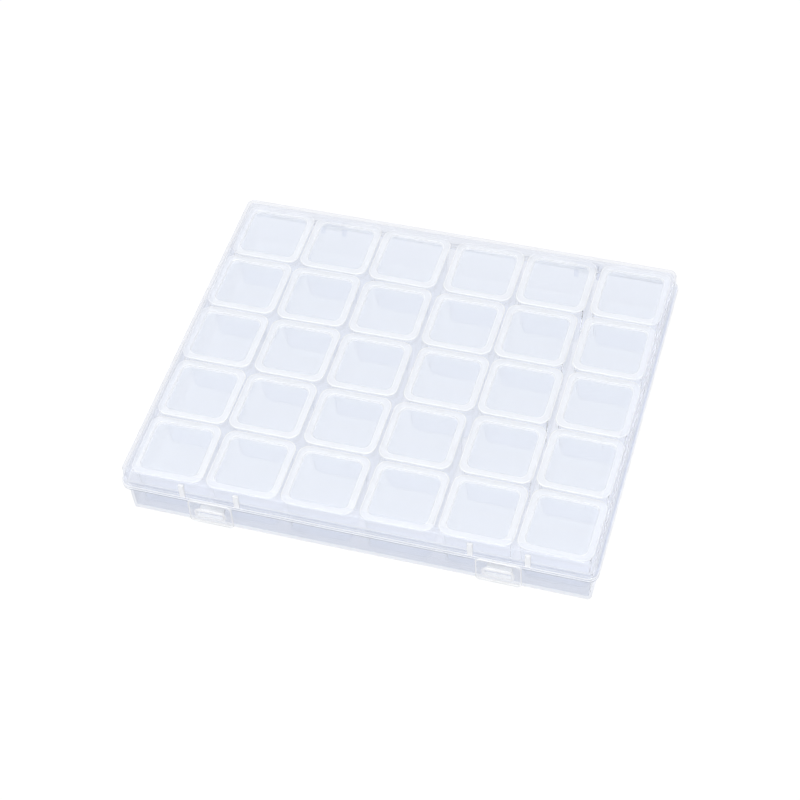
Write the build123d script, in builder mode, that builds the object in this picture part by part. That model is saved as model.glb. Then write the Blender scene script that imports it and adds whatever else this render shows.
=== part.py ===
from build123d import *
import os
from math import atan2, degrees, radians, tan

# Compartment storage box: a clear case, closed by a hinged cover with two latches,
# that holds thirty small boxes, each with a hinged lid of its own.
# Millimetres. X runs to the right, Y to the back and Z up, and the origin is the
# middle of the face that the case stands on. Row 1 of the small boxes is at the back.

os.makedirs("parts", exist_ok=True)

# Small boxes: how many, and the room round them
columns = 6
rows = 5
column_gap = 1.2
row_gap = 0.6
side_room = 0.8
end_room = 1.0

# Small lid
lid_width = 33.0
lid_radius = 5.0
lid_skirt = 0.9
lid_skirt_depth = 2.4
lid_panel = 0.8
lid_rim_width = 3.3
lid_rim_rise = 0.6
lid_play = 0.2

# Small cup
cup_height = 22.9
cup_taper = 1.2
cup_wall = 0.9
cup_radius = 4.4
cup_foot_edge = 1.2

# Moulded hinge of the small lid: a lug in a notch of the cup's back wall
lug_width = 11.6
lug_thickness = 1.5
lug_drop = 3.8
lug_edge = 0.35
lid_hinge_inset = 1.0
lid_hinge_drop = 0.7
lid_hinge_play = 0.3
lid_back_cut = 3.2

# Case
base_thickness = 1.2
wall = 1.1
parting_height = 17.6
lid_headroom = 0.8
top_thickness = 1.2
flange_reach = 1.1
flange_thickness = 1.4
case_radius = 3.6
tray_draft = 2.0
cover_draft = 1.0
foot_edge = 1.2
top_edge = 1.0
embed = 0.5
lip_height = 1.6
lip_wall = 1.0
lip_play = 0.2

# Latches on the front, placed from the case's ends, and the ribs beside them
latch_end_distance = 41.5
latch_width = 20.0
latch_height = 14.2
latch_thickness = 1.2
latch_corner = 1.6
flange_setback = 0.15
window_drop = 7.0
window_length = 11.6
window_height = 2.8
window_rim = 0.6
window_rim_rise = 0.6
window_end_radius = 2.6
window_end_sides = 12
window_corner = 0.9
catch_play = 0.3
rib_width = 2.4
rib_offset = 12.3

# Hinge on the back, placed from the case's ends: clips of the cover on rods of the tray
hinge_end_distance = 43.0
hinge_standoff = 2.3
rod_radius = 1.1
rod_play = 0.07
clip_wall = 1.0
clip_width = 8.0
clip_side_play = 0.3
clip_start = -60.0
clip_sweep = 240.0
ear_thickness = 2.0
ear_wall = 0.9
ear_drop = 4.2
ear_clearance = 0.1

# Sides in which a corner turns: the lids' outer ones, and those of the cups under them
lid_corner_sides = 3
cup_corner_sides = 2

# How the loose boxes stand: slid to the right, row by row from the back, slid
# backwards, column by column from the left, and turned, in degrees
slides_right = (
    (0.1, -0.7, -1.2, 0.2, 0.0, 0.3),
    (-0.4, -1.0, -0.8, -0.6, -1.4, -0.2),
    (-0.4, -0.3, -0.6, 0.7, -0.1, 0.3),
    (0.3, -0.6, -0.3, -0.7, 0.6, 0.2),
    (0.8, 0.7, 0.2, 0.9, 0.7, 0.3),
)
slides_back = (0.2, 0.0, -0.5, -0.6, 0.2, 0.6)
turns = {(1, 3): -0.6, (2, 2): 1.0, (2, 3): 0.9, (3, 3): 0.7, (4, 6): -0.7, (5, 6): -0.9, (5, 1): 1.0}

# Sizes that follow from the ones above
column_pitch = lid_width + column_gap
row_pitch = lid_width + row_gap
cavity_width = columns * lid_width + (columns - 1) * column_gap + 2 * side_room
cavity_depth = rows * lid_width + (rows - 1) * row_gap + 2 * end_room
cavity_radius = case_radius - wall
skirt_width = cavity_width + 2 * wall
skirt_depth = cavity_depth + 2 * wall
case_width = skirt_width + 2 * flange_reach
case_depth = skirt_depth + 2 * flange_reach
tray_flange_width = case_width - 2 * flange_setback
tray_flange_depth = case_depth - 2 * flange_setback
tray_flange_radius = case_radius + flange_reach - flange_setback
lip_width = cavity_width - 2 * lip_play
lip_depth = cavity_depth - 2 * lip_play
lip_radius = cavity_radius - lip_play
inside_width = lip_width - 2 * lip_wall
inside_depth = lip_depth - 2 * lip_wall
inside_radius = lip_radius - lip_wall
tray_width = inside_width + 2 * wall
tray_depth = inside_depth + 2 * wall
tray_radius = inside_radius + wall

cup_width = lid_width - 2 * (lid_skirt + lid_play)
cup_inner_width = cup_width - 2 * cup_wall
cup_draft = degrees(atan2(cup_taper, cup_height))
seat_height = base_thickness + cup_height
lid_top = seat_height + lid_panel + lid_rim_rise
panel_width = lid_width - 2 * lid_rim_width
panel_radius = lid_radius - lid_rim_width / 2
skirt_inner = lid_width - 2 * lid_skirt
lid_hinge_y = lid_width / 2 - lid_hinge_inset
lid_hinge_z = seat_height - lid_hinge_drop
notch_depth = lid_hinge_drop + lug_drop + lug_thickness / 2

cover_height = lid_top + lid_headroom + top_thickness - parting_height

front_face = case_depth / 2
latch_offset = case_width / 2 - latch_end_distance
latch_hinge_z = parting_height + flange_thickness
window_z = latch_hinge_z - window_drop
catch_length = window_length - 2 * catch_play
catch_height = window_height - 2 * catch_play
catch_setback = (parting_height - window_z) * tan(radians(tray_draft))
rib_height = cover_height - flange_thickness - top_edge

hinge_offset = case_width / 2 - hinge_end_distance
hinge_y = skirt_depth / 2 + hinge_standoff
hinge_z = parting_height
clip_inner = rod_radius + rod_play
clip_outer = clip_inner + clip_wall
ear_radius = rod_radius + ear_wall
ear_gap = clip_width + 2 * clip_side_play
hinge_width = ear_gap + 2 * (ear_thickness + clip_side_play)


def flat_cornered(width, radius, sides):
    """Points of a square outline whose corners turn in equal sides."""
    reach = width / 2 - radius
    points = []
    for quarter in range(4):
        centre = Vector(reach, reach).rotate(Axis.Z, 90 * quarter)
        for step in range(sides + 1):
            turn = 90 * (quarter + step / sides)
            points.append(centre + Vector(radius, 0).rotate(Axis.Z, turn))
    return points


def box_place(row, column):
    """Where the small box of this row and column stands."""
    slide = slides_right[row - 1][column - 1]
    x = (column - (columns + 1) / 2) * column_pitch + slide
    y = ((rows + 1) / 2 - row) * row_pitch + slides_back[column - 1]
    return Location((x, y, 0), (0, 0, turns.get((row, column), 0)))


def draw_in(side_of, level, angle):
    """Lean the upright faces of a block: a positive angle narrows it above the level."""
    draft(side_of.faces().filter_by(Axis.Z, reverse=True), Plane.XY.offset(level), angle)


# Cup: four walls that draw in towards the foot, with a notch for the lid's lug
with BuildPart() as cup_hollow:
    with BuildSketch(Plane.XY.offset(seat_height)):
        with BuildLine():
            Polyline(*flat_cornered(cup_inner_width, cup_radius - cup_wall, cup_corner_sides), close=True)
        make_face()
    extrude(amount=-(cup_height - cup_wall))
    draw_in(cup_hollow, seat_height, -cup_draft)

with BuildPart() as cup:
    with BuildSketch(Plane.XY.offset(seat_height)):
        with BuildLine():
            Polyline(*flat_cornered(cup_width, cup_radius, cup_corner_sides), close=True)
        make_face()
    extrude(amount=-cup_height)
    draw_in(cup, seat_height, -cup_draft)
    chamfer(cup.faces().sort_by(Axis.Z)[0].edges(), length=cup_foot_edge)
    add(cup_hollow.part, mode=Mode.SUBTRACT)
    with BuildSketch(Plane.XY.offset(seat_height)):
        with Locations((0, lid_hinge_y)):
            Rectangle(lug_width + 2 * lid_hinge_play, 4 * cup_wall)
    extrude(amount=-notch_depth, mode=Mode.SUBTRACT)

# Lid: a sunk panel in a raised rim, with a skirt round the cup on three sides
with BuildPart() as lid:
    with BuildSketch(Plane.XY.offset(lid_top)):
        with BuildLine():
            Polyline(*flat_cornered(lid_width, lid_radius, lid_corner_sides), close=True)
        make_face()
    extrude(amount=-(lid_rim_rise + lid_panel + lid_skirt_depth))
    with BuildSketch(Plane.XY.offset(lid_top)):
        with BuildLine():
            Polyline(*flat_cornered(panel_width, panel_radius, lid_corner_sides), close=True)
        make_face()
    extrude(amount=-lid_rim_rise, mode=Mode.SUBTRACT)
    with BuildSketch(Plane.XY.offset(seat_height)):
        with BuildLine():
            Polyline(*flat_cornered(skirt_inner, lid_radius - lid_skirt, cup_corner_sides), close=True)
        make_face()
        with Locations((0, lid_width / 2)):
            Rectangle(lid_width, 2 * lid_back_cut)
    extrude(amount=-lid_skirt_depth, mode=Mode.SUBTRACT)
    with BuildSketch(Plane.YZ.offset(-lug_width / 2)):
        with Locations((lid_hinge_y, (seat_height + lid_hinge_z - lug_drop) / 2)):
            lug = Rectangle(lug_thickness, lid_hinge_drop + lug_drop)
        chamfer(lug.vertices().group_by(Axis.Y)[0], length=lug_edge)
    extrude(amount=lug_width)

# Tray: drafted walls, the parting flange and the lip that stands inside the cover
with BuildPart() as tray_hollow:
    with BuildSketch(Plane.XY.offset(parting_height)):
        RectangleRounded(inside_width, inside_depth, inside_radius)
    extrude(amount=-(parting_height - base_thickness))
    draw_in(tray_hollow, parting_height, -tray_draft)
    with BuildSketch(Plane.XY.offset(parting_height)):
        RectangleRounded(inside_width, inside_depth, inside_radius)
    extrude(amount=lip_height)

with BuildPart() as tray:
    with BuildSketch(Plane.XY.offset(parting_height)):
        RectangleRounded(tray_width, tray_depth, tray_radius)
    extrude(amount=-parting_height)
    draw_in(tray, parting_height, -tray_draft)
    chamfer(tray.faces().sort_by(Axis.Z)[0].edges(), length=foot_edge)
    with BuildSketch(Plane.XY.offset(parting_height)):
        RectangleRounded(tray_flange_width, tray_flange_depth, tray_flange_radius)
        with Locations((-hinge_offset, front_face), (hinge_offset, front_face)):
            Rectangle(ear_gap, 2 * (front_face - tray_depth / 2), mode=Mode.SUBTRACT)
    extrude(amount=-flange_thickness)
    with BuildSketch(Plane.XY.offset(parting_height)):
        RectangleRounded(lip_width, lip_depth, lip_radius)
    extrude(amount=lip_height)

    # Catches that show in the windows of the latches
    with BuildSketch(Plane.XZ.offset(front_face - flange_setback)) as catches:
        with Locations((-latch_offset, window_z), (latch_offset, window_z)):
            Rectangle(catch_length, catch_height)
        chamfer(catches.vertices(), length=window_corner)
    extrude(amount=-(front_face - tray_depth / 2 + catch_setback + embed))

    # Ears and rods of the back hinge
    for side in (-hinge_offset, hinge_offset):
        for ear_start in (side - ear_gap / 2 - ear_thickness, side + ear_gap / 2):
            with BuildSketch(Plane.YZ.offset(ear_start)):
                with BuildLine():
                    Polyline(
                        (tray_depth / 2 - embed, hinge_z - ear_clearance),
                        (hinge_y, hinge_z - ear_clearance),
                        (hinge_y, hinge_z - ear_radius),
                        (tray_depth / 2 - embed, hinge_z - ear_drop),
                        close=True,
                    )
                make_face()
                with Locations((hinge_y, hinge_z)):
                    Circle(ear_radius)
            extrude(amount=ear_thickness)
        with BuildSketch(Plane.YZ.offset(side - ear_gap / 2)):
            with Locations((hinge_y, hinge_z)):
                Circle(rod_radius)
        extrude(amount=ear_gap)

    add(tray_hollow.part, mode=Mode.SUBTRACT)

# Cover: shallow drafted skirt, flange, ribs beside the latches, and the hinge clips
with BuildPart() as cover_hollow:
    with BuildSketch(Plane.XY.offset(parting_height)):
        RectangleRounded(cavity_width, cavity_depth, cavity_radius)
    extrude(amount=cover_height - top_thickness)
    draw_in(cover_hollow, parting_height, cover_draft)

with BuildPart() as cover:
    with BuildSketch(Plane.XY.offset(parting_height)):
        RectangleRounded(skirt_width, skirt_depth, case_radius)
    extrude(amount=cover_height)
    draw_in(cover, parting_height, cover_draft)
    chamfer(cover.faces().sort_by(Axis.Z)[-1].edges(), length=top_edge)
    with BuildSketch(Plane.XY.offset(parting_height)):
        RectangleRounded(case_width, case_depth, case_radius + flange_reach)
        with Locations((-hinge_offset, front_face), (hinge_offset, front_face)):
            Rectangle(hinge_width, 2 * flange_reach, mode=Mode.SUBTRACT)
    extrude(amount=flange_thickness)
    rib_places = [side * latch_offset + end * rib_offset for side in (-1, 1) for end in (-1, 1)]
    with BuildSketch(Plane.XY.offset(latch_hinge_z)):
        with Locations([(x, -front_face + flange_reach) for x in rib_places]):
            Rectangle(rib_width, 2 * flange_reach)
    extrude(amount=rib_height)
    add(cover_hollow.part, mode=Mode.SUBTRACT)

    for side in (-hinge_offset, hinge_offset):
        with BuildSketch(Plane.YZ.offset(side - clip_width / 2)):
            with BuildLine():
                outer = CenterArc((hinge_y, hinge_z), clip_outer, clip_start, clip_sweep)
                inner = CenterArc((hinge_y, hinge_z), clip_inner, clip_start, clip_sweep)
                Line(outer @ 0, inner @ 0)
                Line(outer @ 1, inner @ 1)
            make_face()
            with Locations((hinge_y - clip_inner - wall, hinge_z + clip_outer / 2)):
                Rectangle(2 * wall - rod_play, clip_outer)
        extrude(amount=clip_width)

# Latch: a flap with a window for the catch, its rim raised and rounder at the ends
with BuildPart() as latch:
    with BuildSketch(Plane.XZ.offset(front_face)):
        with Locations((0, latch_hinge_z - latch_height / 2)):
            flap = Rectangle(latch_width, latch_height)
        chamfer(flap.vertices().group_by(Axis.Y)[0], length=latch_corner)
    extrude(amount=latch_thickness)
    with BuildSketch(Plane.XZ.offset(front_face + latch_thickness)):
        with Locations((0, window_z)):
            Rectangle(window_length - window_height, window_height + 2 * window_rim)
        end_reach = (window_length - window_height) / 2
        with Locations((-end_reach, window_z), (end_reach, window_z)):
            RegularPolygon(window_end_radius, window_end_sides)
    extrude(amount=window_rim_rise)
    with BuildSketch(Plane.XZ.offset(front_face + latch_thickness + window_rim_rise)):
        with Locations((0, window_z)):
            window = Rectangle(window_length, window_height)
        chamfer(window.vertices(), length=window_corner)
    extrude(amount=-(latch_thickness + window_rim_rise), mode=Mode.SUBTRACT)

tray.part.label = "tray"
export_step(tray.part, "parts/tray.step")
cover.part.label = "cover"
export_step(cover.part, "parts/cover.step")

for name, side in (("latch_left", -latch_offset), ("latch_right", latch_offset)):
    placed_latch = latch.part.moved(Location((side, 0, 0)))
    placed_latch.label = name
    export_step(placed_latch, f"parts/{name}.step")

for row in range(1, rows + 1):
    with BuildPart() as cups:
        for column in range(1, columns + 1):
            add(cup.part.moved(box_place(row, column)))
    cups.part.label = f"cups_row{row}"
    export_step(cups.part, f"parts/cups_row{row}.step")
    for column in range(1, columns + 1):
        placed_lid = lid.part.moved(box_place(row, column))
        placed_lid.label = f"lid_row{row}_col{column}"
        export_step(placed_lid, f"parts/lid_row{row}_col{column}.step")
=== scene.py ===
from math import cos, pi, radians, sin, tan

import bmesh
import bpy
from mathutils import Matrix, Vector


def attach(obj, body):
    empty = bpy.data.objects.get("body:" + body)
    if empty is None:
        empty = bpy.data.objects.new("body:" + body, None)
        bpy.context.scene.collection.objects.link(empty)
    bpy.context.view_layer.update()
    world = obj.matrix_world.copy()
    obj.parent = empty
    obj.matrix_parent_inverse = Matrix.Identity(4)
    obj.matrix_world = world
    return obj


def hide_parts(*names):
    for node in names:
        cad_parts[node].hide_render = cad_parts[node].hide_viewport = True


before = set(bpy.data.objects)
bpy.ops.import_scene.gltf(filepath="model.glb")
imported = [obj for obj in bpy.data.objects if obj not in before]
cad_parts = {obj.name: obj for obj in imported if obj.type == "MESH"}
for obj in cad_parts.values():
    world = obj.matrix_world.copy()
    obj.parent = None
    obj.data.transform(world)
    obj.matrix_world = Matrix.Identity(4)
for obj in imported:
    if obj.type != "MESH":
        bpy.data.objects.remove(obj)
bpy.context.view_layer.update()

# All sizes are in millimetres. The meshes are scaled to metres when they are finished.
MM = 0.001

# Small boxes: the grid
columns = 6
rows = 5
column_pitch = 34.2
row_pitch = 33.6

# Small boxes: the lid
lid_half = 16.5
lid_radius = 5.0
lid_top = 25.5
lid_top_rounding = 0.7
panel_half = 13.2
panel_top = 24.9
panel_step_rounding = 0.3
seat = 24.1
skirt_foot = 21.7
skirt_wall = 0.9
skirt_fillet = 0.4
skirt_inner_chamfer = 0.15
skirt_outer_chamfer = 0.2
lug_half = 5.8
lug_thickness = 1.5
lug_foot = 19.6
lug_y = 15.5
lug_rounding = 0.35
lug_sink = 0.05

# Small boxes: the cup
cup_half = 15.4
cup_radius = 4.4
cup_wall = 0.9
cup_foot = 1.26
cup_taper = 1.2
cup_foot_rounding = 2.6
cup_rim_chamfer = 0.2
cup_rim_drop = 0.25
cup_flat_margin = 1.5
notch_half = 6.1
notch_foot = 18.85
notch_step = 0.03

# Case: both halves
parting = 17.6
case_top = 27.5
case_x = 105.0
case_y = 86.9
case_radius = 3.6
wall = 1.1
flange_reach = 1.1
flange_thickness = 1.4

# Case: the cover
top_plate = 1.2
cover_lean = tan(radians(1.0))
cover_top_rounding = 1.0
cover_inner_rounding = 0.5
cover_flange_rounding = 0.35
cover_foot_chamfer = 0.2
rib_offset = 12.3
rib_half = 1.2
rib_top = 26.4
rib_rounding = 0.3

# Case: the tray
tray_lean = tan(radians(2.0))
tray_floor = 1.2
tray_inner_rounding = 0.8
tray_foot_rounding = 1.4
tray_flange_chamfer = 0.3
tray_flange_play = 0.08
flange_setback = 0.15
lip_play = 0.2
lip_wall = 1.0
lip_top = 19.2
lip_chamfer = 0.2
catch_half = (5.5, 1.1)
catch_rounding = 0.4
near_wall = 6
near_foot = 2

# Latches
latch_x = 63.5
latch_half = 10.0
latch_foot = 4.8
latch_top = 19.0
latch_thickness = 1.2
latch_radius = 2.0
latch_rim = 0.6
window_half = (5.8, 1.4)
window_radius = 0.7
window_z = 12.0

# Back hinge
hinge_x = 62.0
hinge_y = 88.1
hinge_z = 17.6
rod_radius = 1.1
clip_inner = 1.17
clip_outer = 2.17
clip_half = 4.0
clip_arm_rounding = 0.25
ear_gap_half = 4.3
ear_thickness = 2.0
ear_radius = 2.0
ear_drop = 4.2
cover_gap_half = 6.6
overlap = 0.3

# How the loose boxes stand, as in the model: slides to the right, slides back, turns in degrees
slides_right = (
    (0.1, -0.7, -1.2, 0.2, 0.0, 0.3),
    (-0.4, -1.0, -0.8, -0.6, -1.4, -0.2),
    (-0.4, -0.3, -0.6, 0.7, -0.1, 0.3),
    (0.3, -0.6, -0.3, -0.7, 0.6, 0.2),
    (0.8, 0.7, 0.2, 0.9, 0.7, 0.3),
)
slides_back = (0.2, 0.0, -0.5, -0.6, 0.2, 0.6)
turns = {
    (1, 3): -0.6,
    (2, 2): 1.0,
    (2, 3): 0.9,
    (3, 3): 0.7,
    (4, 6): -0.7,
    (5, 6): -0.9,
    (5, 1): 1.0,
}


def box_place(row, column):
    """Where the small box of this row and column stands."""
    x = (column - (columns + 1) / 2) * column_pitch + slides_right[row - 1][column - 1]
    y = ((rows + 1) / 2 - row) * row_pitch + slides_back[column - 1]
    turn = radians(turns.get((row, column), 0))
    return Matrix.Translation((x, y, 0)) @ Matrix.Rotation(turn, 4, "Z")


# Mesh building

CORNER_STEPS = 7
BEVEL_STEPS = 2
WELD = 0.003
SHARP_ANGLE = radians(40)

even_corner = [step / CORNER_STEPS for step in range(CORNER_STEPS + 1)]


def outline(half_x, half_y, radius, z, back_stops=(), corner=even_corner):
    """Points round a rounded rectangle, anticlockwise, with extra points on its back edge.

    The left half mirrors the right one. The shares in corner say where a corner's points lie.
    """
    quarter = []
    for share in corner:
        turn = pi / 2 * share
        quarter.append((half_x - radius + radius * cos(turn), half_y - radius + radius * sin(turn)))
    right = [(x, -y) for x, y in reversed(quarter)] + quarter
    right += [(x, half_y) for x in back_stops]
    return [(x, y, z) for x, y in right] + [(-x, y, z) for x, y in reversed(right)]


def arc(inset, z, size, start, end, steps=4):
    """Profile points of a rounded edge: how far in from the outline, and the height."""
    angles = [radians(start + (end - start) * step / steps) for step in range(steps + 1)]
    return [(inset - size * cos(angle), z + size * sin(angle)) for angle in angles]


def join_profile(*parts):
    """Profile points, and the slots of the bands between them.

    Each part holds points and, for every point, the slot of the band that leads to it.
    """
    slots = [slot for part_slots, _ in parts for slot in part_slots]
    points = [point for _, part_points in parts for point in part_points]
    return points, slots[1:]


def skin(bm, loops, slots, end_slot=0, closed=False):
    """Faces between following loops; the ends are filled, or the last loop joins the first."""
    made = [[bm.verts.new(point) for point in loop] for loop in loops]
    count = len(made[0])
    pairs = list(zip(made, made[1:]))
    if closed:
        pairs.append((made[-1], made[0]))
    for band, (low, high) in enumerate(pairs):
        for i in range(count):
            j = (i + 1) % count
            face = bm.faces.new((low[i], low[j], high[j], high[i]))
            face.material_index = slots[band]
    if not closed:
        bm.faces.new(list(reversed(made[0]))).material_index = end_slot
        bm.faces.new(made[-1]).material_index = end_slot


def extrude_yz(bm, points, x_low, x_high, slot):
    """A block of constant YZ section, from one x to another."""
    low, high = [[bm.verts.new((x, y, z)) for y, z in points] for x in (x_low, x_high)]
    made = [bm.faces.new(list(reversed(low))), bm.faces.new(high)]
    for i in range(len(points)):
        j = (i + 1) % len(points)
        made.append(bm.faces.new((low[i], low[j], high[j], high[i])))
    for face in made:
        face.material_index = slot


def rounded_bar(bm, low, high, edge, slot):
    """A block with rounded edges, from its lowest corner to its highest."""
    part = bmesh.new()
    bmesh.ops.create_cube(part, size=1)
    size = [top - foot for foot, top in zip(low, high)]
    middle = [(top + foot) / 2 for foot, top in zip(low, high)]
    bmesh.ops.scale(part, vec=size, verts=part.verts)
    bmesh.ops.bevel(
        part, geom=part.edges, offset=edge, segments=BEVEL_STEPS, affect="EDGES", profile=0.5
    )
    bmesh.ops.translate(part, vec=middle, verts=part.verts)
    copies = {vert: bm.verts.new(vert.co) for vert in part.verts}
    for face in part.faces:
        bm.faces.new([copies[vert] for vert in face.verts]).material_index = slot
    part.free()


def ring_section(radius, start, sweep, steps):
    """YZ points on an arc round the back hinge's axis, angles in degrees."""
    angles = [radians(start + sweep * step / steps) for step in range(steps + 1)]
    return [(hinge_y + radius * cos(angle), hinge_z + radius * sin(angle)) for angle in angles]


def finish_mesh(name, bm, materials, node, body):
    """Cleans the mesh, scales it to metres and makes it stand for its node."""
    bmesh.ops.remove_doubles(bm, verts=bm.verts, dist=WELD)
    bmesh.ops.dissolve_degenerate(bm, edges=bm.edges, dist=WELD)
    bmesh.ops.recalc_face_normals(bm, faces=bm.faces)
    bmesh.ops.scale(bm, vec=(MM, MM, MM), verts=bm.verts)
    for face in bm.faces:
        face.smooth = True
    for edge in bm.edges:
        if len(edge.link_faces) != 2 or edge.calc_face_angle(0) > SHARP_ANGLE:
            edge.smooth = False
    mesh = bpy.data.meshes.new(name)
    bm.to_mesh(mesh)
    bm.free()
    piece = bpy.data.objects.new(name, mesh)
    bpy.context.scene.collection.objects.link(piece)
    for material in materials:
        mesh.materials.append(material)
    normals = piece.modifiers.new("normals", "WEIGHTED_NORMAL")
    normals.keep_sharp = True
    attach(piece, body)
    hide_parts(node)
    return piece


# Shader nodes

# The renderer follows this many bounces, and this many straight crossings of milky plastic
MAX_BOUNCES = 12
MAX_CROSSINGS = 8
# The pale glow that the plastic gives a ray past these limits: painted light
END_GLOW = (0.64, 0.655, 0.685)

MILKY_IOR = 1.49
# Nearly unbent: at a real index, rays stay in the walls until the renderer gives them up
CLEAR_IOR = 1.01
COAT_ROUGHNESS = 0.15
WAVE_HEIGHT = 0.0002
HAZE_POWER = 3.0


def math_node(tree, operation, first, second):
    """The result of a math node on two inputs, each a socket or a number."""
    node = tree.nodes.new("ShaderNodeMath")
    node.operation = operation
    for value, socket in zip((first, second), node.inputs):
        if isinstance(value, (int, float)):
            socket.default_value = value
        else:
            tree.links.new(value, socket)
    return node.outputs["Value"]


def spread_between(tree, value, low, high):
    """A value from 0 to 1, spread between two others."""
    node = tree.nodes.new("ShaderNodeMapRange")
    node.inputs["To Min"].default_value = low
    node.inputs["To Max"].default_value = high
    tree.links.new(value, node.inputs["Value"])
    return node.outputs["Result"]


def mix_shaders(tree, share, first, second):
    """The first shader at share 0, the second at share 1."""
    node = tree.nodes.new("ShaderNodeMixShader")
    for value, socket in zip((share, first, second), node.inputs):
        tree.links.new(value, socket)
    return node.outputs["Shader"]


def start_material(name, color):
    """A material with its node tree and its shader, in this colour."""
    material = bpy.data.materials.new(name)
    material.use_nodes = True
    shader = material.node_tree.nodes["Principled BSDF"]
    shader.inputs["Base Color"].default_value = (*color, 1)
    return material, material.node_tree, shader


def set_surface(tree, surface):
    tree.links.new(surface, tree.nodes["Material Output"].inputs["Surface"])


# Plastics

thin_shade = (0.985, 0.99, 0.995)
rim_shade = (0.96, 0.965, 0.97)
foot_shade = (0.95, 0.96, 0.97)


def flow_marks(tree, shader, scale, roughness, strength):
    """Faint flow marks of moulded plastic, in the roughness and as a very slight waviness."""
    coords = tree.nodes.new("ShaderNodeTexCoord")
    noise = tree.nodes.new("ShaderNodeTexNoise")
    noise.inputs["Scale"].default_value = scale
    noise.inputs["Detail"].default_value = 3
    tree.links.new(coords.outputs["Object"], noise.inputs["Vector"])
    tree.links.new(
        spread_between(tree, noise.outputs["Fac"], *roughness), shader.inputs["Roughness"]
    )
    bump = tree.nodes.new("ShaderNodeBump")
    bump.inputs["Strength"].default_value = strength
    bump.inputs["Distance"].default_value = WAVE_HEIGHT
    tree.links.new(noise.outputs["Fac"], bump.inputs["Height"])
    tree.links.new(bump.outputs["Normal"], shader.inputs["Normal"])


def by_angle(tree, face_on, edge_on):
    """One value where the surface is seen face on, another where it is seen along the wall."""
    facing = tree.nodes.new("ShaderNodeLayerWeight").outputs["Facing"]
    bent = math_node(tree, "POWER", facing, HAZE_POWER)
    return spread_between(tree, bent, face_on, edge_on)


def set_paths(material, shader, shade):
    """What the plastic does to rays beyond its shader.

    Shadow rays pass, tinted a little, so that what is under the plastic is lit. A ray that has
    crossed as many walls as the renderer follows ends in a pale glow instead of in black: there
    the plastic is painted light that stands in for the light beyond.
    """
    tree = material.node_tree
    path = tree.nodes.new("ShaderNodeLightPath").outputs
    bounced = math_node(tree, "GREATER_THAN", path["Ray Depth"], MAX_BOUNCES - 0.5)
    crossed = math_node(tree, "GREATER_THAN", path["Transparent Depth"], MAX_CROSSINGS - 0.5)
    over = math_node(tree, "MAXIMUM", bounced, crossed)
    end_glow = tree.nodes.new("ShaderNodeEmission")
    end_glow.inputs["Color"].default_value = (*END_GLOW, 1)
    material.cycles.emission_sampling = "NONE"
    seen = mix_shaders(tree, over, shader.outputs["BSDF"], end_glow.outputs["Emission"])
    through = tree.nodes.new("ShaderNodeBsdfTransparent")
    through.inputs["Color"].default_value = (*shade, 1)
    set_surface(tree, mix_shaders(tree, path["Is Shadow Ray"], seen, through.outputs["BSDF"]))


def milky(name, color, haze, shade=thin_shade):
    """Slightly milky plastic of a thin piece, through which what is behind shows unbent.

    The haze is how dense it looks face on and edge on.
    """
    material, tree, shader = start_material(name, color)
    shader.inputs["IOR"].default_value = MILKY_IOR
    flow_marks(tree, shader, 60, (0.12, 0.24), 0.06)
    tree.links.new(by_angle(tree, *haze), shader.inputs["Alpha"])
    set_paths(material, shader, shade)
    return material


def clear(name, color, haze, coat, shade=thin_shade, roughness=(0.03, 0.08)):
    """Clear plastic with a little haze, and a coat for its gloss."""
    material, tree, shader = start_material(name, color)
    shader.inputs["IOR"].default_value = CLEAR_IOR
    shader.inputs["Coat Weight"].default_value = coat
    shader.inputs["Coat Roughness"].default_value = COAT_ROUGHNESS
    flow_marks(tree, shader, 40, roughness, 0.03)
    face_on, edge_on = haze
    clearness = by_angle(tree, 1 - face_on, 1 - edge_on)
    tree.links.new(clearness, shader.inputs["Transmission Weight"])
    set_paths(material, shader, shade)
    return material


white = (0.945, 0.957, 0.985)
bright = (0.985, 0.99, 1.0)

lid_looks = (
    milky("lid_panel_plastic", (0.87, 0.905, 0.975), (0.26, 0.6)),
    milky("lid_rim_plastic", white, (0.5, 0.52), rim_shade),
    # Denser, whiter haze on the lid's rounded edges: a painted highlight for the light lines these
    # edges show
    milky("lid_edge_highlight_plastic", bright, (0.68, 0.8), rim_shade),
    milky("lid_skirt_plastic", bright, (0.03, 0.07)),
)
cup_looks = (
    clear("cup_wall_plastic", (0.978, 0.985, 1.0), (0.02, 0.08), 0.1),
    # Untinted and a little hazier than the walls: a painted highlight line on the foot rounding,
    # beside the real gloss of its coat
    clear("cup_foot_highlight_plastic", (1.0, 1.0, 1.0), (0.04, 0.1), 0.3, foot_shade),
)
# Denser, whiter haze on the case's rounded edges, ribs, catches and hinge rod: a painted highlight
# for their light lines
case_highlight_look = clear("case_edge_highlight_plastic", bright, (0.7, 0.9), 0.4)
cover_looks = (
    milky("cover_top_plastic", (0.9, 0.93, 0.98), (0.04, 0.4)),
    clear("cover_wall_plastic", (0.93, 0.943, 0.983), (0.2, 0.22), 0.3, roughness=(0.06, 0.12)),
    case_highlight_look,
)
# The tray's plastics are one plastic in three tints: the floor's is lighter, and the front wall's
# is darker, painted shade for the dark band along the front.
tray_looks = (
    clear("case_plastic", (0.835, 0.856, 0.918), (0.02, 0.1), 0.4),
    case_highlight_look,
    clear("case_floor_plastic", (0.875, 0.898, 0.965), (0.02, 0.08), 0.3),
    clear("case_front_shaded_plastic", (0.78, 0.795, 0.835), (0.05, 0.2), 0.4),
)
latch_looks = (
    milky("latch_plastic", white, (0.05, 0.5)),
    # Denser, whiter haze on the latch's rounded edges: a painted highlight line
    milky("latch_edge_highlight_plastic", bright, (0.55, 0.85)),
)


# Small boxes

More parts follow.
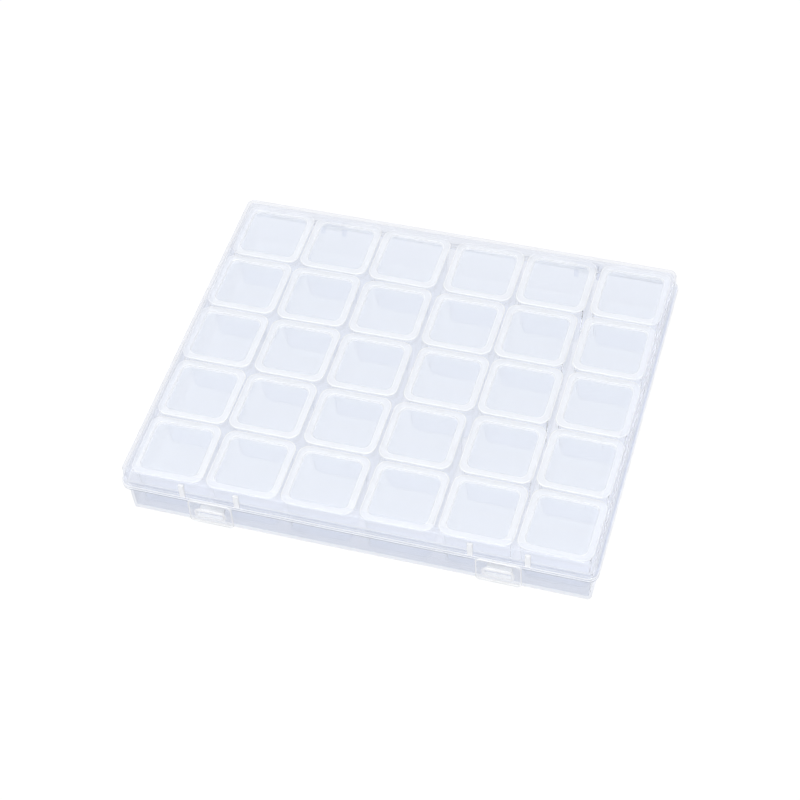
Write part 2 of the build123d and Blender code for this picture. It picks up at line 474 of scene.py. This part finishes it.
# Slots of the lid. The third, on the upper half of the outer rounding and on the panel's step,
# holds the edge plastic, a painted highlight line
PANEL, RIM, HIGHLIGHT, SKIRT = range(4)

# The lid's corner points, as shares of a quarter turn. The skirt ends between the third and the
# fourth point of a back corner, and all points from there to the other corner are cut away.
lid_corner = (0, 0.1, 0.235, 0.245, 0.36, 0.5, 0.64, 0.77, 0.89, 1)
first_cut = len(lid_corner) + 3
cut_thickness = 0.02


def lid_mesh(bm):
    """The sunk panel, raised rim and skirt, with the skirt cut away at the back, and the lug."""
    rim = lid_half - panel_half
    profile, slots = join_profile(
        ([PANEL, PANEL], [(4.6, seat), (3.6, seat)]),
        ([RIM, RIM], [(skirt_wall + skirt_fillet, seat), (skirt_wall, seat - skirt_fillet)]),
        ([SKIRT, SKIRT], [(skirt_wall, skirt_foot + skirt_inner_chamfer),
                          (skirt_wall - skirt_inner_chamfer, skirt_foot)]),
        ([SKIRT, SKIRT], [(skirt_outer_chamfer, skirt_foot),
                          (0, skirt_foot + skirt_outer_chamfer)]),
        ([SKIRT, SKIRT, SKIRT, HIGHLIGHT, HIGHLIGHT],
         arc(lid_top_rounding, lid_top - lid_top_rounding, lid_top_rounding, 0, 90)),
        ([RIM, HIGHLIGHT, HIGHLIGHT, HIGHLIGHT],
         arc(rim - panel_step_rounding, lid_top - panel_step_rounding, panel_step_rounding,
             90, 180, 3)),
        ([HIGHLIGHT, RIM, PANEL],
         [(rim + 0.1, panel_top + 0.12), (rim + 0.3, panel_top), (rim + 1.2, panel_top)]),
    )
    loops = []
    for inset, z in profile:
        half = lid_half - inset
        radius = max(lid_radius - inset * 0.5, 1.0)
        points = outline(half, half, radius, z, corner=lid_corner)
        if z < seat:
            lifted = seat - cut_thickness if z <= skirt_foot + skirt_outer_chamfer else seat
            cut = range(first_cut, len(points) - first_cut)
            points = [(x, y, lifted if i in cut else z) for i, (x, y, z) in enumerate(points)]
        loops.append(points)
    skin(bm, loops, slots)
    lug_low = (-lug_half, lug_y - lug_thickness / 2, lug_foot)
    lug_high = (lug_half, lug_y + lug_thickness / 2, seat + lug_sink)
    rounded_bar(bm, lug_low, lug_high, lug_rounding, SKIRT)


def cup_mesh(bm, place):
    """A tapered cup with a rounded foot, and a notch in its back wall for the lid's lug."""

    def drawn_in(z):
        return cup_taper * (seat - z) / (seat - cup_foot)

    floor = cup_foot + cup_wall
    inner_rounding = cup_foot_rounding - cup_wall
    inner_base = drawn_in(floor + inner_rounding) + cup_wall
    outer_base = drawn_in(cup_foot + cup_foot_rounding)
    shoulder = seat - cup_rim_drop
    profile, slots = join_profile(
        ([0], [(inner_base + inner_rounding + cup_flat_margin, floor)]),
        ([0] * 6, arc(inner_base + inner_rounding, floor + inner_rounding, inner_rounding,
                      -90, 0, 5)),
        ([0, 0], [(drawn_in(notch_foot) + cup_wall, notch_foot),
                  (drawn_in(shoulder) + cup_wall, shoulder)]),
        ([0, 0, 0], [(cup_wall - cup_rim_chamfer, seat), (cup_rim_chamfer, seat),
                     (drawn_in(shoulder), shoulder)]),
        ([0, 0], [(drawn_in(notch_foot), notch_foot),
                  (outer_base - 0.02, cup_foot + cup_foot_rounding + 0.5)]),
        # Three bands of the outer foot rounding take the second plastic, a painted highlight line
        ([0] + [1] * 3 + [0] * 4,
         arc(outer_base + cup_foot_rounding, cup_foot + cup_foot_rounding, cup_foot_rounding,
             0, -90, 7)),
        ([0], [(outer_base + cup_foot_rounding + cup_flat_margin, cup_foot)]),
    )
    loops = []
    notch_wall = cup_half - drawn_in(notch_foot)
    for inset, z in profile:
        half = cup_half - inset
        radius = max(cup_radius - inset * 0.7, 0.9)
        stops = (notch_half + notch_step, notch_half)
        points = outline(half, half, radius, z, back_stops=stops)
        if z > notch_foot:
            # The points within the notch go down to its foot, between the wall's two faces
            ledge = (min(max(half, notch_wall - cup_wall), notch_wall), notch_foot)
            points = [
                (x, *ledge) if abs(x) <= notch_half + notch_step / 2 and y > half - 0.01
                else (x, y, z)
                for x, y, z in points
            ]
        loops.append(points)
    start = len(bm.verts)
    skin(bm, loops, slots)
    bm.verts.ensure_lookup_table()
    bmesh.ops.transform(bm, matrix=place, verts=list(bm.verts)[start:])


for row in range(1, rows + 1):
    bm = bmesh.new()
    for column in range(1, columns + 1):
        cup_mesh(bm, box_place(row, column))
    finish_mesh(f"cups_row{row}_shell", bm, cup_looks, f"cups_row{row}", "case")
    for column in range(1, columns + 1):
        name = f"lid_row{row}_col{column}"
        bm = bmesh.new()
        lid_mesh(bm)
        bmesh.ops.transform(bm, matrix=box_place(row, column), verts=bm.verts)
        finish_mesh(name + "_shell", bm, lid_looks, name, name)


# Case

# Slots of the cover and of the tray. The slots of the rounded edges, ribs, catches and hinge rod
# take the edge plastic, whose denser white haze is a painted highlight
TOP, COVER_WALL, COVER_HIGHLIGHT = range(3)
TRAY_WALL, TRAY_HIGHLIGHT, TRAY_FLOOR, TRAY_FRONT_SHADE = range(4)


def case_loops(profile, gap_half, gap_inset):
    """Loops of the case from insets and heights.

    Within gap_half of a back hinge's middle the outline stays in by gap_inset.
    """
    stops = [hinge_x + gap_half + notch_step, hinge_x + gap_half,
             hinge_x - gap_half, hinge_x - gap_half - notch_step]
    loops = []
    for inset, z in profile:
        radius = max(case_radius + flange_reach - inset, 0.8)
        points = outline(case_x - inset, case_y - inset, radius, z, back_stops=stops)
        kept = case_y - max(inset, gap_inset)
        loop = []
        for x, y, z in points:
            in_gap = abs(abs(x) - hinge_x) <= gap_half + notch_step / 2 and y > 0
            loop.append((x, min(y, kept) if in_gap else y, z))
        loops.append(loop)
    return loops


def cover_wall(z):
    """How far in the outside of the cover's skirt is at this height."""
    return flange_reach + cover_lean * (z - parting)


def tray_wall(z):
    """How far in the outside of the tray's wall is at this height."""
    return flange_reach + lip_play + lip_wall + tray_lean * (parting - z)


bm = bmesh.new()
under_plate = case_top - top_plate
flange_top = parting + flange_thickness
profile, slots = join_profile(
    ([TOP], [(cover_wall(under_plate) + wall + 4, under_plate)]),
    ([COVER_WALL] * 4,
     arc(cover_wall(under_plate) + wall + cover_inner_rounding,
         under_plate - cover_inner_rounding, cover_inner_rounding, 90, 0, 3)),
    ([COVER_WALL, COVER_HIGHLIGHT],
     [(flange_reach + wall, parting + cover_foot_chamfer),
      (flange_reach + wall - cover_foot_chamfer, parting)]),
    ([COVER_WALL], [(cover_flange_rounding, parting)]),
    ([COVER_HIGHLIGHT] * 2,
     arc(cover_flange_rounding, parting + cover_flange_rounding, cover_flange_rounding,
         -90, 0, 2)[1:]),
    ([COVER_WALL] + [COVER_HIGHLIGHT] * 3,
     arc(cover_flange_rounding, flange_top - cover_flange_rounding, cover_flange_rounding,
         0, 90, 3)),
    ([COVER_WALL] * 2,
     [(cover_wall(flange_top) - 0.25, flange_top),
      (cover_wall(flange_top) - 0.05, flange_top + 0.25)]),
    ([COVER_WALL] * 6,
     arc(cover_wall(case_top - cover_top_rounding) + cover_top_rounding,
         case_top - cover_top_rounding, cover_top_rounding, 0, 90, 5)),
    ([TOP] * 2, [(cover_wall(case_top) + 2.6, case_top), (cover_wall(case_top) + 6, case_top)]),
)
skin(bm, case_loops(profile, cover_gap_half, flange_reach), slots)
for side in (-1, 1):
    for end in (-1, 1):
        x = side * latch_x + end * rib_offset
        rib_low = (x - rib_half, -case_y + 0.05, flange_top - 0.1)
        rib_high = (x + rib_half, -case_y + flange_reach + overlap, rib_top)
        rounded_bar(bm, rib_low, rib_high, rib_rounding, COVER_HIGHLIGHT)
    clip_low, clip_high = side * hinge_x - clip_half, side * hinge_x + clip_half
    section = ring_section(clip_outer, -60, 240, 20) + ring_section(clip_inner, 180, -240, 16)
    extrude_yz(bm, section, clip_low, clip_high, COVER_WALL)
    arm_low = (clip_low, case_y - flange_reach - overlap, hinge_z + 0.1)
    arm_high = (clip_high, hinge_y - clip_inner, hinge_z + clip_outer)
    rounded_bar(bm, arm_low, arm_high, clip_arm_rounding, COVER_WALL)
finish_mesh("cover_shell", bm, cover_looks, "cover", "cover")

bm = bmesh.new()
tray_outer = tray_wall(parting)
inside = tray_outer + wall
lip_outside = inside - lip_wall
tray_top = parting - tray_flange_play
flange_foot = parting - flange_thickness
profile, slots = join_profile(
    ([TRAY_FLOOR], [(tray_wall(tray_floor) + wall + 3, tray_floor)]),
    ([TRAY_FLOOR] * 5,
     arc(tray_wall(tray_floor) + wall + tray_inner_rounding, tray_floor + tray_inner_rounding,
         tray_inner_rounding, -90, 0, 4)),
    ([TRAY_WALL] * 2, [(inside, parting), (inside, lip_top - lip_chamfer)]),
    ([TRAY_HIGHLIGHT] * 3,
     [(inside - lip_chamfer, lip_top), (lip_outside + lip_chamfer, lip_top),
      (lip_outside, lip_top - lip_chamfer)]),
    ([TRAY_WALL], [(lip_outside, tray_top)]),
    ([TRAY_WALL, TRAY_HIGHLIGHT],
     [(flange_setback + tray_flange_chamfer, tray_top),
      (flange_setback, tray_top - tray_flange_chamfer)]),
    ([TRAY_WALL, TRAY_HIGHLIGHT],
     [(flange_setback, flange_foot + tray_flange_chamfer),
      (flange_setback + tray_flange_chamfer, flange_foot)]),
    ([TRAY_WALL], [(tray_wall(flange_foot), flange_foot)]),
    ([TRAY_WALL] + [TRAY_HIGHLIGHT] * 2 + [TRAY_FLOOR] * 4,
     arc(tray_wall(tray_foot_rounding) + tray_foot_rounding, tray_foot_rounding,
         tray_foot_rounding, 0, -90, 6)),
    ([TRAY_FLOOR], [(tray_wall(0) + 4, 0)]),
)
skin(bm, case_loops(profile, ear_gap_half, tray_outer), slots, TRAY_FLOOR)
# The front wall takes the darker copy of the tray's plastic, as painted shade. At the back and on
# the left, the bottom edge bands take the floor's plastic instead of the edge plastic with its
# painted highlight, which shows dark where little light reaches them.
for face in bm.faces:
    middle = face.calc_center_median()
    dim_back_or_left = middle.y > case_y - near_wall or middle.x < near_wall - case_x
    if face.material_index == TRAY_WALL and middle.y < near_wall - case_y:
        face.material_index = TRAY_FRONT_SHADE
    elif face.material_index == TRAY_HIGHLIGHT and middle.z < near_foot and dim_back_or_left:
        face.material_index = TRAY_FLOOR
for side in (-1, 1):
    x = side * latch_x
    catch_x, catch_z = catch_half
    catch_low = (x - catch_x, -case_y + flange_setback, window_z - catch_z)
    catch_high = (x + catch_x, -case_y + tray_wall(window_z) + overlap, window_z + catch_z)
    rounded_bar(bm, catch_low, catch_high, catch_rounding, TRAY_HIGHLIGHT)
    for end in (-1, 1):
        root_y = case_y - tray_outer - 0.4
        section = ring_section(ear_radius, -90, 180, 12)
        section += [(root_y, hinge_z - 0.1 + ear_radius * 0.2), (root_y, hinge_z - ear_drop)]
        near = side * hinge_x + end * ear_gap_half
        far = near + end * ear_thickness
        extrude_yz(bm, section, min(near, far), max(near, far), TRAY_WALL)
    rod_low, rod_high = side * hinge_x - ear_gap_half, side * hinge_x + ear_gap_half
    extrude_yz(bm, ring_section(rod_radius, 0, 345, 23), rod_low, rod_high, TRAY_HIGHLIGHT)
finish_mesh("tray_shell", bm, tray_looks, "tray", "case")


# Latches

# Rounded outlines from the window's back edge round the whole flap to its back, each with its
# half sizes, radius and height, its depth behind the case's front and its slot. Slot 1, on the
# rounded edges, takes the edge plastic, whose denser white haze is a painted highlight
latch_loops = []
for grow, depth, slot in (
    (0.3, latch_thickness, 0),
    (0.05, latch_thickness - 0.1, 1),
    (0, latch_thickness - 0.3, 1),
    (0, -0.2, 1),
    (0.15, -0.5, 1),
    (0.45, -latch_rim, 1),
    (0.9, -latch_rim, 1),
    (1.2, -0.4, 1),
    (1.3, 0.05, 1),
):
    sizes = (window_half[0] + grow, window_half[1] + grow, window_radius + grow)
    latch_loops.append((*sizes, window_z, depth, slot))
for inset, depth, slot in (
    (1.6, 0.0, 0),
    (0.5, 0.0, 0),
    (0.15, 0.15, 1),
    (0, 0.5, 1),
    (0, latch_thickness - 0.4, 1),
    (0.12, latch_thickness - 0.12, 1),
    (0.4, latch_thickness, 1),
    (1.6, latch_thickness, 0),
):
    half_height = (latch_top - latch_foot) / 2 - inset
    sizes = (latch_half - inset, half_height, latch_radius - inset * 0.5)
    latch_loops.append((*sizes, (latch_foot + latch_top) / 2, depth, slot))
latch_slots = [entry[-1] for entry in latch_loops[1:]] + [0]

for side, name in ((-1, "latch_left"), (1, "latch_right")):
    bm = bmesh.new()
    loops = []
    for half_x, half_z, radius, middle, depth, slot in latch_loops:
        flat = outline(half_x, half_z, min(radius, half_z - 0.05), 0)
        y = -case_y + depth - latch_thickness
        loops.append([(x + side * latch_x, y, z + middle) for x, z, _ in flat])
    skin(bm, loops, latch_slots, closed=True)
    finish_mesh(name + "_shell", bm, latch_looks, name, name)


# Floor and backdrop

FLOOR_HALF = 3
FLOOR_DROP = 0.0001
FLOOR_GLOW = 0.91
SKY_LIGHT = 0.5
SKY_SEEN = 1.0


def seen_by_eye(tree):
    """1 for what the camera sees, straight or in gloss or through the plastic, else 0."""
    path = tree.nodes.new("ShaderNodeLightPath").outputs
    total = path["Is Camera Ray"]
    for kind in ("Is Transmission Ray", "Is Glossy Ray"):
        total = math_node(tree, "MAXIMUM", total, path[kind])
    unscattered = math_node(tree, "LESS_THAN", path["Diffuse Depth"], 0.5)
    return math_node(tree, "MULTIPLY", total, unscattered)


floor_mesh = bpy.data.meshes.new("floor")
bm = bmesh.new()
bmesh.ops.create_grid(bm, x_segments=1, y_segments=1, size=FLOOR_HALF)
bm.to_mesh(floor_mesh)
bm.free()
floor = bpy.data.objects.new("floor", floor_mesh)
floor.location = (0, 0, -FLOOR_DROP)
bpy.context.scene.collection.objects.link(floor)

# The floor is pale grey paper to the light. To the eye it is white, with the object's shadow.
material, tree, paper = start_material("floor_paper", (0.86, 0.865, 0.88))
paper.inputs["Roughness"].default_value = 0.9
paper.inputs["Specular IOR Level"].default_value = 0.1
seen_paper = tree.nodes.new("ShaderNodeBsdfDiffuse")
seen_paper.inputs["Color"].default_value = (0.12, 0.12, 0.12, 1)
glow = tree.nodes.new("ShaderNodeEmission")
glow.inputs["Color"].default_value = (1, 1, 1, 1)
glow.inputs["Strength"].default_value = FLOOR_GLOW
seen_floor = tree.nodes.new("ShaderNodeAddShader")
tree.links.new(seen_paper.outputs["BSDF"], seen_floor.inputs[0])
tree.links.new(glow.outputs["Emission"], seen_floor.inputs[1])
set_surface(
    tree,
    mix_shaders(tree, seen_by_eye(tree), paper.outputs["BSDF"], seen_floor.outputs["Shader"]),
)
floor_mesh.materials.append(material)

# The sky is white to the eye and dimmer as a lamp
world = bpy.data.worlds.new("studio")
bpy.context.scene.world = world
world.use_nodes = True
tree = world.node_tree
backdrop = tree.nodes["Background"]
seen_sky = tree.nodes.new("ShaderNodeBackground")
for sky, strength in ((backdrop, SKY_LIGHT), (seen_sky, SKY_SEEN)):
    sky.inputs["Color"].default_value = (1, 1, 1, 1)
    sky.inputs["Strength"].default_value = strength
either = mix_shaders(
    tree, seen_by_eye(tree), backdrop.outputs["Background"], seen_sky.outputs["Background"]
)
tree.links.new(either, tree.nodes["World Output"].inputs["Surface"])


# Lamps and camera


def softbox(name, place, size, power):
    """A soft lamp that looks at the middle of the case, and isn't seen through clear walls."""
    lamp = bpy.data.lights.new(name, "AREA")
    lamp.shape = "RECTANGLE"
    lamp.size, lamp.size_y = size
    lamp.energy = power
    box = bpy.data.objects.new(name, lamp)
    box.location = place
    box.rotation_euler = (-Vector(place)).to_track_quat("-Z", "Y").to_euler()
    box.visible_transmission = False
    bpy.context.scene.collection.objects.link(box)


softbox("top_light", (-0.25, 0.15, 1.6), (0.9, 0.9), 10.5)
softbox("front_light", (0.45, -1.1, 0.8), (1.2, 0.8), 6)
softbox("window_light", (-0.9, 0.5, 1.3), (1.2, 1.2), 1)

# The camera as solved from the photograph, in metres
camera_data = bpy.data.cameras.new("camera")
camera_data.sensor_width = 36
camera_data.lens = 92.5
camera = bpy.data.objects.new("camera", camera_data)
right = Vector((0.959, 0.2788, -0.0512)).normalized()
forward = Vector((-0.2188, 0.6132, -0.759)).normalized()
up = right.cross(forward).normalized()
right = forward.cross(up).normalized()
turn = Matrix((right, up, -forward)).transposed().to_4x4()
camera.matrix_world = Matrix.Translation((0.19797, -0.56860, 0.70747)) @ turn
bpy.context.scene.collection.objects.link(camera)
bpy.context.scene.camera = camera
bpy.context.scene.view_settings.view_transform = "Standard"
